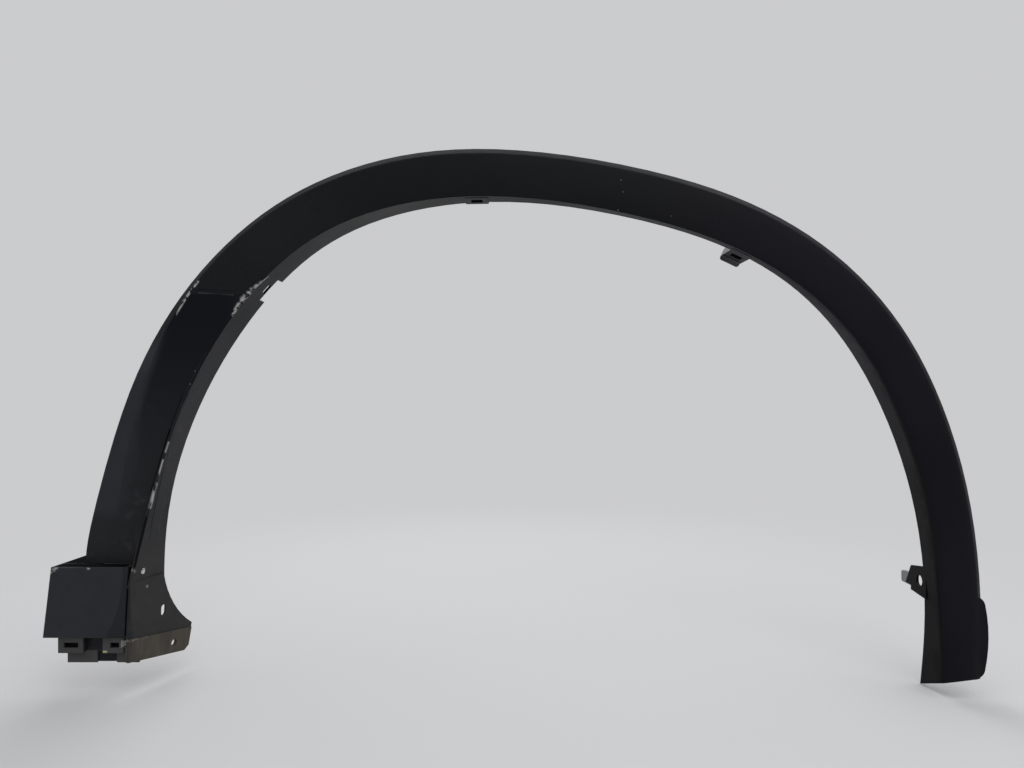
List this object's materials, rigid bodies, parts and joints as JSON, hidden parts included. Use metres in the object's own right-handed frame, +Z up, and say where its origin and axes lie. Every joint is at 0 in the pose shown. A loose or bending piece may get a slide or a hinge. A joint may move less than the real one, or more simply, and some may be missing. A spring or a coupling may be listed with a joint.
{
  "type": "wheel arch trim",
  "caption": "Moulded black trim for a front wheel arch: a slim shell with an inner lip, boxed front end, fixing plate and rear foot, held by push clips and screws.",
  "frame": {"origin": "centre of the screw hole in the rear tab of the lip, halfway through the tab", "axes": "+X to the rear of the car, +Y into the car, +Z up"},
  "size_m": [1.1065, 0.0953, 0.6371],
  "materials": {
    "black_plastic": "fine grained black moulding, scuffed and dusty",
    "clip_plastic": "plain grey moulding"
  },
  "bodies": {
    "root": {"arch_moulding": "black_plastic", "retaining_clips": "clip_plastic", "rear_tab_clip": "clip_plastic"}
  },
  "joints": []
}
